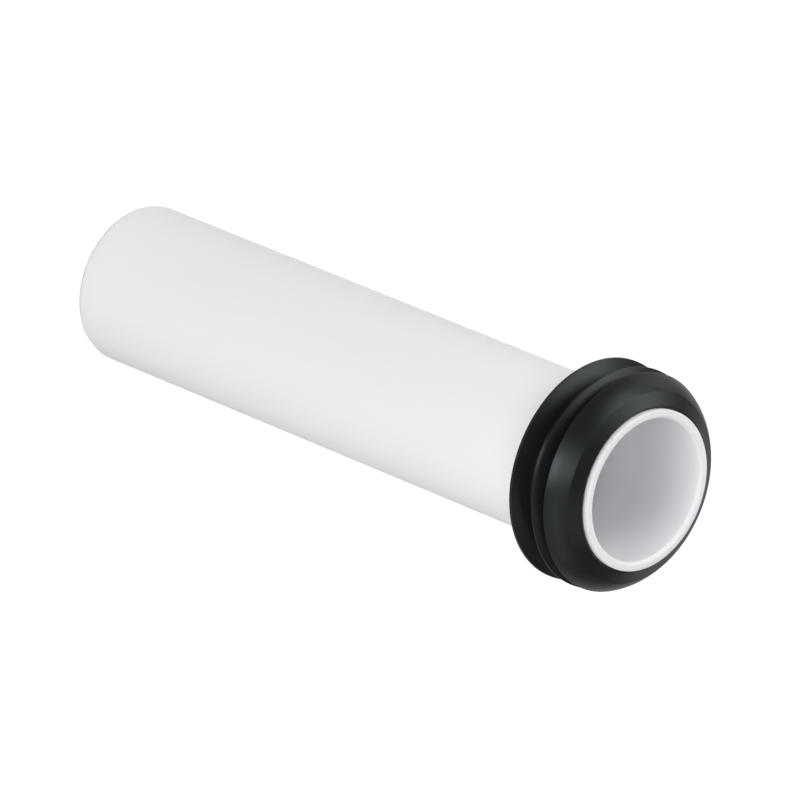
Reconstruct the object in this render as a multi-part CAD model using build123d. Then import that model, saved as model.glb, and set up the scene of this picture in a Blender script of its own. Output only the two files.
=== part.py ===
from build123d import *
import os
from math import radians, tan

# A flush pipe with a push-in lip seal at its mouth, standing on its plain end.
# The pipe's axis is +Z, the plain end is at z = 0, and all sizes are in millimetres.

# Pipe
pipe_length = 202.0
pipe_diameter = 45.0
pipe_wall = 2.5
mouth_bevel = 0.7  # inside edge of the mouth
mouth_break = 0.25  # outside edge of the mouth
lead_in_depth = 0.5  # outside bevel of the plain end, across the wall
lead_in_length = 1.2  # the same bevel, along the pipe

# Seat for the seal, a shallow groove behind a rim at the mouth
seat_depth = 0.4
mouth_rim = 1.85

# Seal along the pipe, from its nose back to its tail
nose_reach = 0.55  # nose in front of the seat, standing clear of the pipe's rim
nose_length = 1.65  # nose to the crease around the front face
front_lip_length = 5.4  # crease to the front lip's trailing edge
middle_lip_pitch = 4.6  # front lip's trailing edge to the middle lip's
rear_lip_pitch = 8.1  # middle lip's trailing edge to the rear lip's
tail_length = 1.6  # rear lip's trailing edge to the end of the sleeve

# Seal across the pipe
sleeve_wall = 3.7  # seat to the floor of the grooves
rear_lip_height = 5.2  # rear lip above the sleeve
middle_lip_height = 5.1  # middle lip above the sleeve
front_lip_height = 4.9  # front lip above the sleeve
crease_height = 1.1  # crease around the front face, above the sleeve
nose_gap = 0.65  # open ring between the nose and the pipe's rim

# Form of the lips
lip_edge = 0.9  # thickness at the edge
lip_front_sweep = 30.0  # degrees that a lip's front face leans back
lip_back_sweep = 15.0  # degrees that its back face leans back
front_lip_bulge = 0.35  # crown of the front lip's outer band
groove_flare = 1.0  # slope where the rear lip's front face meets the sleeve
tail_bevel = 1.0

# Radii and heights that both pieces share
pipe_radius = pipe_diameter / 2
bore_radius = pipe_radius - pipe_wall
seat_radius = pipe_radius - seat_depth
sleeve_radius = seat_radius + sleeve_wall
seat_z = pipe_length - mouth_rim
nose_z = seat_z + nose_reach
crease_z = nose_z - nose_length
front_edge_z = crease_z - front_lip_length
middle_edge_z = front_edge_z - middle_lip_pitch
rear_edge_z = middle_edge_z - rear_lip_pitch
tail_z = rear_edge_z - tail_length


def flush_pipe():
    section = Polyline(
        (bore_radius, 0),
        (pipe_radius - lead_in_depth, 0),
        (pipe_radius, lead_in_length),
        (pipe_radius, tail_z),
        (seat_radius, tail_z),
        (seat_radius, seat_z),
        (pipe_radius, seat_z),
        (pipe_radius, pipe_length - mouth_break),
        (pipe_radius - mouth_break, pipe_length),
        (bore_radius + mouth_bevel, pipe_length),
        (bore_radius, pipe_length - mouth_bevel),
        close=True,
    )
    return revolve(Plane.XZ * make_face(section), Axis.Z)


def lip(edge_z, height):
    # A thin lip that leans back, from the root of its back face to the root of its front face.
    edge_radius = sleeve_radius + height
    back_lean = height * tan(radians(lip_back_sweep))
    front_lean = height * tan(radians(lip_front_sweep))
    return [
        (sleeve_radius, edge_z + back_lean),
        (edge_radius, edge_z),
        (edge_radius, edge_z + lip_edge),
        (sleeve_radius, edge_z + lip_edge + front_lean),
    ]


def lip_seal():
    rear_lip = lip(rear_edge_z, rear_lip_height)
    middle_lip = lip(middle_edge_z, middle_lip_height)
    front_lip_root = (sleeve_radius, front_edge_z + front_lip_height * tan(radians(lip_back_sweep)))
    front_lip_edge = (sleeve_radius + front_lip_height, front_edge_z)
    crease = (sleeve_radius + crease_height, crease_z)

    back = Polyline(
        (seat_radius, seat_z),
        (seat_radius, tail_z),
        (sleeve_radius - tail_bevel, tail_z),
        (sleeve_radius, tail_z + tail_bevel),
        *rear_lip,
        *middle_lip,
        front_lip_root,
        front_lip_edge,
    )
    band = SagittaArc(front_lip_edge, crease, -front_lip_bulge)
    # The nose's inside runs back to the seat, so a narrow open ring is left round the pipe's rim.
    nose = Polyline(
        crease,
        (pipe_radius + nose_gap, nose_z),
        (pipe_radius, seat_z),
        (seat_radius, seat_z),
    )
    section = make_face(back + band + nose)

    # The wide groove's root is sloped, as far as the groove's floor leaves room.
    floor_length = middle_lip[0][1] - rear_lip[3][1]
    root = section.vertices().sort_by_distance(Vector(*rear_lip[3]))[0]
    section = chamfer(root, min(groove_flare, floor_length / 2))
    return revolve(Plane.XZ * section, Axis.Z)


os.makedirs("parts", exist_ok=True)
export_step(flush_pipe(), "parts/flush_pipe.step")
export_step(lip_seal(), "parts/lip_seal.step")
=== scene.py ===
import bpy
import numpy as np
from mathutils import Matrix, Vector


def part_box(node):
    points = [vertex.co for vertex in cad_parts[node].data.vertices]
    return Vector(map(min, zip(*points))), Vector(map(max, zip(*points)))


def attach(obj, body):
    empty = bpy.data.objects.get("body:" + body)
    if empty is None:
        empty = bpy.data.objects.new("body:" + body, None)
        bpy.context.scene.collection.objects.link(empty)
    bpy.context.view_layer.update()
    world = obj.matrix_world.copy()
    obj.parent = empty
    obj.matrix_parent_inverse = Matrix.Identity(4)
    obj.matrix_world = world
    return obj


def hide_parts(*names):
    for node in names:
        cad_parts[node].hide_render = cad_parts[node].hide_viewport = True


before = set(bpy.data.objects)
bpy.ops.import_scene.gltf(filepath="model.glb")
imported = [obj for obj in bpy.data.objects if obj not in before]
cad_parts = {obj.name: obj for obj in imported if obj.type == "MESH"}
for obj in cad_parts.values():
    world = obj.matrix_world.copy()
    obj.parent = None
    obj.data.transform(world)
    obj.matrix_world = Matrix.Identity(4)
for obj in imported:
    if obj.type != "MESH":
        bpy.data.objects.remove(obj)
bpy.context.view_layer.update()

mm = 0.001
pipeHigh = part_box("flush_pipe")[1]
sealLow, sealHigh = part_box("lip_seal")
pipeRadius, pipeLength = pipeHigh[0], pipeHigh[2]
tailZ, noseZ = sealLow[2], sealHigh[2]
lipRadius = min(sealHigh[0], -sealLow[0])  # inside the facets of the CAD mesh
print("frame loaded, pipe", round(pipeLength / mm, 1), "mm long")


# camera, fitted to the outlines of the pipe, its mouth and the seal
view = {
    "frameSize": 800,  # pixels
    "focalLength": 10500.0,  # pixels
    "sensorWidth": 36.0,  # millimetres
    "clipEnd": 50.0,  # metres
    "axisTilt": 48.03,  # degrees between the pipe's axis and the line of sight
    "axisFall": 22.30,  # degrees that the axis falls below the level on screen
    "plainEndPixel": (137.58, 282.06),
    "pixelsPerMetre": 3584.0,  # at the plain end
}

tilt, fall = np.radians(view["axisTilt"]), np.radians(view["axisFall"])
towards = np.array([0.0, -np.sin(tilt), np.cos(tilt)])
levelRight = np.array([1.0, 0.0, 0.0])
levelUp = np.cross(towards, levelRight)
screenRight = -np.sin(fall) * levelRight + np.cos(fall) * levelUp
screenUp = -np.cos(fall) * levelRight - np.sin(fall) * levelUp


def addCamera():
    # the plain end's centre is the origin, so its pixel and depth give the camera's place
    depth = view["focalLength"] / view["pixelsPerMetre"]
    middle = (view["frameSize"] - 1) / 2
    across = (view["plainEndPixel"][0] - middle) / view["pixelsPerMetre"]
    above = (middle - view["plainEndPixel"][1]) / view["pixelsPerMetre"]
    place = depth * towards - across * screenRight - above * screenUp
    data = bpy.data.cameras.new("photoCamera")
    data.sensor_fit = "HORIZONTAL"
    data.sensor_width = view["sensorWidth"]
    data.lens = view["sensorWidth"] * view["focalLength"] / view["frameSize"]
    data.clip_end = view["clipEnd"]
    camera = bpy.data.objects.new("photoCamera", data)
    camera.matrix_world = Matrix(np.column_stack([
        np.r_[screenRight, 0], np.r_[screenUp, 0], np.r_[towards, 0], np.r_[place, 1]]).tolist())
    bpy.context.scene.collection.objects.link(camera)
    bpy.context.scene.camera = camera


addCamera()
print("camera set")


# each corner is (radius, height, round): the sharp corner gives way to the arc of that round that
# touches both its sides, and the sides between arcs are cut into equal steps
def roundedLoop(corners, arcSteps, sideStep):
    corners = np.array(corners, float)
    points, rounds = corners[:, :2], corners[:, 2]
    back = np.roll(points, 1, axis=0) - points
    ahead = np.roll(points, -1, axis=0) - points
    back /= np.linalg.norm(back, axis=1)[:, None]
    ahead /= np.linalg.norm(ahead, axis=1)[:, None]
    half = np.arccos(np.clip((back * ahead).sum(1), -1, 1)) / 2
    middle = back + ahead
    middle /= np.linalg.norm(middle, axis=1)[:, None]
    centre = points + middle * (rounds / np.sin(half))[:, None]
    reach = (rounds / np.tan(half))[:, None]
    start = (points + back * reach - centre) / rounds[:, None]
    end = (points + ahead * reach - centre) / rounds[:, None]
    sweep = np.pi - 2 * half
    share = np.linspace(0, 1, arcSteps)
    early = np.sin((1 - share)[None] * sweep[:, None]) / np.sin(sweep)[:, None]
    late = np.sin(share[None] * sweep[:, None]) / np.sin(sweep)[:, None]
    spokes = early[:, :, None] * start[:, None] + late[:, :, None] * end[:, None]
    arcs = centre[:, None] + spokes * rounds[:, None, None]
    # a hollow corner's spokes point into the solid, so they are turned round to face out
    turn = back[:, 0] * ahead[:, 1] - back[:, 1] * ahead[:, 0]
    outward = np.where(turn > 0, -1.0, 1.0)[:, None, None] * spokes
    loop, facing = [], []
    for i in range(len(points)):
        nextStart = arcs[(i + 1) % len(points), 0]
        cuts = max(int(np.linalg.norm(nextStart - arcs[i, -1]) / sideStep), 1)
        steps = np.linspace(0, 1, cuts + 1)[1:-1, None]
        loop += [arcs[i], arcs[i, -1] + steps * (nextStart - arcs[i, -1])]
        facing += [outward[i], np.repeat(outward[i, -1:], cuts - 1, axis=0)]
    return np.concatenate(loop), np.concatenate(facing)


lathe = {
    "turns": 288,  # steps round the axis
    "arcSteps": 8,  # points on each round
}


# a point of the closed section at radius r and height z goes to (r cos a, r sin a, z) for every angle a
def lathePiece(name, corners, sideStep):
    turns = lathe["turns"]
    loop, facing = roundedLoop(corners, lathe["arcSteps"], sideStep)
    angle = np.arange(turns) * 2 * np.pi / turns
    ring = np.stack([np.cos(angle), np.sin(angle)], axis=1)

    def carried(flat):
        around = flat[None, :, :1] * ring[:, None, :]
        upright = np.broadcast_to(flat[None, :, 1:], (turns, len(flat), 1))
        return np.concatenate([around, upright], axis=2).reshape(-1, 3)

    u, v = np.meshgrid(np.arange(turns), np.arange(len(loop)), indexing="ij")
    uNext, vNext = (u + 1) % turns, (v + 1) % len(loop)
    quads = np.stack([u * len(loop) + v, uNext * len(loop) + v,
                      uNext * len(loop) + vNext, u * len(loop) + vNext], axis=2).reshape(-1, 4)
    mesh = bpy.data.meshes.new(name)
    mesh.from_pydata(carried(loop), [], quads)
    mesh.polygons.foreach_set("use_smooth", np.ones(len(quads), bool))
    mesh.normals_split_custom_set_from_vertices(carried(facing).tolist())
    piece = bpy.data.objects.new(name, mesh)
    bpy.context.scene.collection.objects.link(piece)
    print(name, "has", len(quads), "faces")
    return piece


pipe = {
    "wall": 2.5 * mm,
    "seatDepth": 0.4 * mm,
    "leadInDepth": 0.5 * mm,
    "leadInLength": 1.2 * mm,
    "mouthRim": 1.85 * mm,  # in front of the seal's seat
    "mouthBevel": 0.7 * mm,
    "edgeRound": 0.12 * mm,
    "rimRound": 0.3 * mm,
    "leadInRound": 1.0 * mm,
    "sideStep": 4.0 * mm,  # no cut of a straight side is shorter
}
boreRadius = pipeRadius - pipe["wall"]
seatRadius = pipeRadius - pipe["seatDepth"]
seatZ = pipeLength - pipe["mouthRim"]


def makePipe():
    fine = pipe["edgeRound"]
    return lathePiece("flushPipe", [
        (boreRadius, 0, fine),
        (pipeRadius - pipe["leadInDepth"], 0, fine),
        (pipeRadius, pipe["leadInLength"], pipe["leadInRound"]),
        (pipeRadius, tailZ, fine),
        (seatRadius, tailZ, fine),
        (seatRadius, seatZ, fine),
        (pipeRadius, seatZ, fine),
        (pipeRadius, pipeLength, pipe["rimRound"]),
        (boreRadius + pipe["mouthBevel"], pipeLength, pipe["rimRound"]),
        (boreRadius, pipeLength - pipe["mouthBevel"], pipe["rimRound"]),
    ], pipe["sideStep"])


seal = {
    "sleeveWall": 3.7 * mm,
    "noseLength": 1.65 * mm,
    "noseGap": 0.65 * mm,  # open ring round the pipe's rim
    "creaseHeight": 1.1 * mm,
    "frontLipHeight": 4.9 * mm,
    "frontLipLength": 5.4 * mm,
    "middleLipHeight": 5.1 * mm,
    "middleLipPitch": 4.6 * mm,
    "rearLipPitch": 8.1 * mm,
    "lipEdge": 0.9 * mm,
    "frontSweep": 30.0,  # degrees that a lip's front face leans back
    "backSweep": 15.0,
    "bandCrown": 0.70 * mm,  # where the band's end tangents meet, above its chord
    "bandRound": 14.0 * mm,
    "edgeRound": 0.05 * mm,
    "bevelLean": 35.0,  # degrees that the bevel behind a thin lip's edge leans in
    "rearBevel": 0.15 * mm,
    "middleBevel": 0.6 * mm,
    "tipRound": 0.07 * mm,
    "creaseRound": 0.25 * mm,
    "seatRound": 0.06 * mm,
    "wideRoot": 1.8 * mm,
    "narrowRoot": 0.7 * mm,
    "tailBevel": 1.0 * mm,
    "sideStep": 0.6 * mm,
}
sleeveRadius = seatRadius + seal["sleeveWall"]


def lipCorners(edgeRadius, trailingZ, bevel, frontRoot):
    height = edgeRadius - sleeveRadius
    backLean = height * np.tan(np.radians(seal["backSweep"]))
    frontLean = height * np.tan(np.radians(seal["frontSweep"]))
    bevelDrop = bevel * np.tan(np.radians(seal["bevelLean"]))
    return [
        (sleeveRadius, trailingZ + backLean, seal["narrowRoot"]),
        (edgeRadius - bevelDrop, trailingZ, seal["edgeRound"]),
        (edgeRadius, trailingZ + bevel, seal["edgeRound"]),
        (edgeRadius, trailingZ + seal["lipEdge"], seal["edgeRound"]),
        (sleeveRadius, trailingZ + seal["lipEdge"] + frontLean, frontRoot),
    ]


def makeSeal():
    creaseZ = noseZ - seal["noseLength"]
    frontZ = creaseZ - seal["frontLipLength"]
    middleZ = frontZ - seal["middleLipPitch"]
    rearZ = middleZ - seal["rearLipPitch"]
    middleRadius = sleeveRadius + seal["middleLipHeight"]
    crease = np.array([sleeveRadius + seal["creaseHeight"], creaseZ])
    trailing = np.array([sleeveRadius + seal["frontLipHeight"], frontZ])
    chord = (crease - trailing) / np.linalg.norm(crease - trailing)
    crown = (crease + trailing) / 2 + seal["bandCrown"] * np.array([chord[1], -chord[0]])
    frontRootZ = frontZ + seal["frontLipHeight"] * np.tan(np.radians(seal["backSweep"]))
    return lathePiece("lipSeal", [
        (seatRadius, seatZ, seal["seatRound"]),
        (seatRadius, tailZ, seal["seatRound"]),
        (sleeveRadius - seal["tailBevel"], tailZ, seal["edgeRound"]),
        (sleeveRadius, tailZ + seal["tailBevel"], seal["edgeRound"]),
        *lipCorners(lipRadius, rearZ, seal["rearBevel"], seal["wideRoot"]),
        *lipCorners(middleRadius, middleZ, seal["middleBevel"], seal["narrowRoot"]),
        (sleeveRadius, frontRootZ, seal["narrowRoot"]),
        (*trailing, seal["tipRound"]),
        (*crown, seal["bandRound"]),
        (*crease, seal["creaseRound"]),
        (pipeRadius + seal["noseGap"], noseZ, seal["creaseRound"]),
        (pipeRadius, seatZ, seal["seatRound"]),
    ], seal["sideStep"])


flushPipe = makePipe()
lipSeal = makeSeal()


# a new node of a tree, with its settings
def addNode(tree, kind, **settings):
    node = tree.nodes.new(kind)
    for key, value in settings.items():
        setattr(node, key, value)
    return node


skinDetail = {"Cloud": 3.0, "Grain": 4.0}  # octaves of each noise


# moulded skin: a broad cloud and a fine grain, both read from stretched object coordinates
def mouldedSkin():
    group = bpy.data.node_groups.new("mouldedSkin", "ShaderNodeTree")
    sockets = group.interface
    sockets.new_socket("Stretch", in_out="INPUT", socket_type="NodeSocketVector")
    sockets.new_socket("Cloud Scale", in_out="INPUT", socket_type="NodeSocketFloat")
    sockets.new_socket("Grain Scale", in_out="INPUT", socket_type="NodeSocketFloat")
    sockets.new_socket("Cloud", in_out="OUTPUT", socket_type="NodeSocketFloat")
    sockets.new_socket("Grain", in_out="OUTPUT", socket_type="NodeSocketFloat")
    given = addNode(group, "NodeGroupInput")
    result = addNode(group, "NodeGroupOutput")
    place = addNode(group, "ShaderNodeTexCoord")
    stretched = addNode(group, "ShaderNodeVectorMath", operation="MULTIPLY")
    join = group.links.new
    join(place.outputs["Object"], stretched.inputs[0])
    join(given.outputs["Stretch"], stretched.inputs[1])
    for name, detail in skinDetail.items():
        noise = addNode(group, "ShaderNodeTexNoise")
        noise.inputs["Detail"].default_value = detail
        join(stretched.outputs["Vector"], noise.inputs["Vector"])
        join(given.outputs[name + " Scale"], noise.inputs["Scale"])
        join(noise.outputs["Fac"], result.inputs[name])
    return group


skin = mouldedSkin()


# a finish mixes two near colours by the cloud, lets it shift the roughness, and raises the grain
def finish(name, look):
    material = bpy.data.materials.new(name)
    material.use_nodes = True
    tree = material.node_tree
    shader = tree.nodes["Principled BSDF"]
    shader.inputs["IOR"].default_value = look["ior"]
    shader.inputs["Specular IOR Level"].default_value = look["specular"]
    shader.inputs["Specular Tint"].default_value = (*look["specularTint"], 1)
    shader.inputs["Subsurface Weight"].default_value = look["depthShare"]
    shader.inputs["Subsurface Radius"].default_value = (1, 1, 1)
    shader.inputs["Subsurface Scale"].default_value = look["depth"]
    texture = addNode(tree, "ShaderNodeGroup")
    texture.node_tree = skin
    texture.inputs["Stretch"].default_value = look["stretch"]
    texture.inputs["Cloud Scale"].default_value = look["cloudScale"]
    texture.inputs["Grain Scale"].default_value = look["grainScale"]
    tone = addNode(tree, "ShaderNodeMix", data_type="RGBA")
    tone.inputs["A"].default_value = (*look["dark"], 1)
    tone.inputs["B"].default_value = (*look["light"], 1)
    sheen = addNode(tree, "ShaderNodeMapRange")
    sheen.inputs["To Min"].default_value = look["roughness"][0]
    sheen.inputs["To Max"].default_value = look["roughness"][1]
    bump = addNode(tree, "ShaderNodeBump")
    bump.inputs["Strength"].default_value = look["bumpStrength"]
    bump.inputs["Distance"].default_value = look["bumpDepth"]
    join = tree.links.new
    join(texture.outputs["Cloud"], tone.inputs["Factor"])
    join(texture.outputs["Cloud"], sheen.inputs["Value"])
    join(texture.outputs["Grain"], bump.inputs["Height"])
    join(tone.outputs["Result"], shader.inputs["Base Color"])
    join(sheen.outputs["Result"], shader.inputs["Roughness"])
    join(bump.outputs["Normal"], shader.inputs["Normal"])
    return material


# white polypropylene drawn through a die: faint streaks along the pipe
whitePlastic = {
    "dark": (0.855, 0.868, 0.893),
    "light": (0.877, 0.888, 0.913),
    "roughness": (0.42, 0.5),
    "ior": 1.49,
    "specular": 0.25,
    "specularTint": (1.0, 1.0, 1.0),
    "depthShare": 0.7,  # light goes through the milky wall into the bore
    "depth": 4.2 * mm,
    "stretch": (1.0, 1.0, 0.04),
    "cloudScale": 90.0,
    "grainScale": 900.0,
    "bumpStrength": 0.03,
    "bumpDepth": 0.02 * mm,
}
# black moulded rubber: satin, with a fine skin from the mould
blackRubber = {
    "dark": (0.0058, 0.0068, 0.0064),
    "light": (0.0074, 0.0084, 0.0080),
    "roughness": (0.29, 0.39),
    "ior": 1.5,
    "specular": 0.3,
    # painted light colour: the bluish tint on the rubber's reflections stands in for bluish lamps
    "specularTint": (0.90, 1.0, 1.05),
    "depthShare": 0.0,
    "depth": 0.1 * mm,
    "stretch": (1.0, 1.0, 1.0),
    "cloudScale": 120.0,
    "grainScale": 2600.0,
    "bumpStrength": 0.25,
    "bumpDepth": 0.03 * mm,
}

for piece, node, slot, look, name in (
        (flushPipe, "flush_pipe", "pipe_plastic", whitePlastic, "whitePlastic"),
        (lipSeal, "lip_seal", "seal_rubber", blackRubber, "blackRubber")):
    piece.data.materials.append(finish(name, look))
    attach(piece, "root")
    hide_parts(node)
print("pieces finished")


# studio: a white room, a pale floor that glows like a light table, and soft boxes round the object
studio = {
    "roomGlow": 0.184,  # what the room gives to the object; the camera sees it white
    "floorSize": 8.0,
    "floorGlow": 0.215,  # what the floor gives to the object
    "floorTone": 0.5,
    "floorSeenGlow": 0.93,  # what the camera sees of it, with room for a faint contact shade
    "floorSeenTone": 0.15,
    "floorRoughness": 1.0,
    "floorSpecular": 0.0,
    "white": (1, 1, 1, 1),
    "boxAim": (0.0, 0.0, 0.14),
    "boxDistance": 1.6,
    "softBoxes": {  # elevation, azimuth from the camera's side, width, height, watts
        "keyStrip": (30.0, -10.0, 0.62, 1.6, 10.7),
        "lowBox": (11.0, -12.0, 0.7, 0.4, 4.5),
        "sideBox": (16.0, -75.0, 2.0, 0.8, 3.2),
        "underBox": (36.0, -60.0, 1.1, 1.1, 2.25),
        "sideTopBox": (62.0, -110.0, 0.7, 0.7, 1.2),
        "mouthBox": (52.0, 92.0, 0.8, 0.8, 4.8),
        "topBox": (32.0, 95.0, 1.0, 0.9, 4.5),
        "topFrontBox": (40.0, 80.0, 1.0, 1.0, 2.85),
        "topLowBox": (6.0, 118.0, 1.0, 0.35, 1.5),
        "backBox": (46.0, 130.0, 0.55, 0.55, 3.85),
        "backdrop": (8.0, 180.0, 2.0, 0.5, 2.5),
    },
}


# the camera's own rays meet one shader, all other rays the other
def splitByRay(tree, lit, seen, result):
    path = addNode(tree, "ShaderNodeLightPath")
    either = addNode(tree, "ShaderNodeMixShader")
    tree.links.new(path.outputs["Is Camera Ray"], either.inputs[0])
    tree.links.new(lit, either.inputs[1])
    tree.links.new(seen, either.inputs[2])
    tree.links.new(either.outputs["Shader"], result.inputs["Surface"])


# the camera and the object see the same pale floor, each at its own strength
def addFloor():
    reach = studio["floorSize"] / 2
    mesh = bpy.data.meshes.new("floor")
    corners = [(-reach, -reach, 0), (reach, -reach, 0), (reach, reach, 0), (-reach, reach, 0)]
    mesh.from_pydata(corners, [], [(0, 1, 2, 3)])
    floor = bpy.data.objects.new("floor", mesh)
    bpy.context.scene.collection.objects.link(floor)
    material = bpy.data.materials.new("paleFloor")
    material.use_nodes = True
    tree = material.node_tree
    lit = tree.nodes["Principled BSDF"]
    seen = addNode(tree, "ShaderNodeBsdfPrincipled")
    for shader, tone, glow in ((lit, "floorTone", "floorGlow"), (seen, "floorSeenTone", "floorSeenGlow")):
        shader.inputs["Base Color"].default_value = (*[studio[tone]] * 3, 1)
        shader.inputs["Roughness"].default_value = studio["floorRoughness"]
        shader.inputs["Specular IOR Level"].default_value = studio["floorSpecular"]
        shader.inputs["Emission Color"].default_value = studio["white"]
        shader.inputs["Emission Strength"].default_value = studio[glow]
    splitByRay(tree, lit.outputs["BSDF"], seen.outputs["BSDF"], tree.nodes["Material Output"])
    mesh.materials.append(material)


def addRoom():
    world = bpy.data.worlds.new("whiteRoom")
    bpy.context.scene.world = world
    world.use_nodes = True
    tree = world.node_tree
    lit = tree.nodes["Background"]
    lit.inputs["Color"].default_value = studio["white"]
    lit.inputs["Strength"].default_value = studio["roomGlow"]
    seen = addNode(tree, "ShaderNodeBackground")
    seen.inputs["Color"].default_value = studio["white"]
    splitByRay(tree, lit.outputs["Background"], seen.outputs["Background"], tree.nodes["World Output"])


# a box stands at its distance from the aim, turned to face it
def addSoftBox(name, elevation, azimuth, width, height, watts):
    high, aside = np.radians(elevation), np.radians(azimuth)
    away = Vector((-np.cos(high) * np.sin(aside), -np.cos(high) * np.cos(aside), np.sin(high)))
    data = bpy.data.lights.new(name, "AREA")
    data.shape = "RECTANGLE"
    data.size = width
    data.size_y = height
    data.energy = watts
    box = bpy.data.objects.new(name, data)
    box.location = Vector(studio["boxAim"]) + studio["boxDistance"] * away
    box.rotation_euler = away.to_track_quat("Z", "Y").to_euler()
    box.visible_camera = False
    bpy.context.scene.collection.objects.link(box)


for boxName, placing in studio["softBoxes"].items():
    addSoftBox(boxName, *placing)
addFloor()
addRoom()
bpy.context.scene.view_settings.view_transform = "Standard"
print("studio lit")
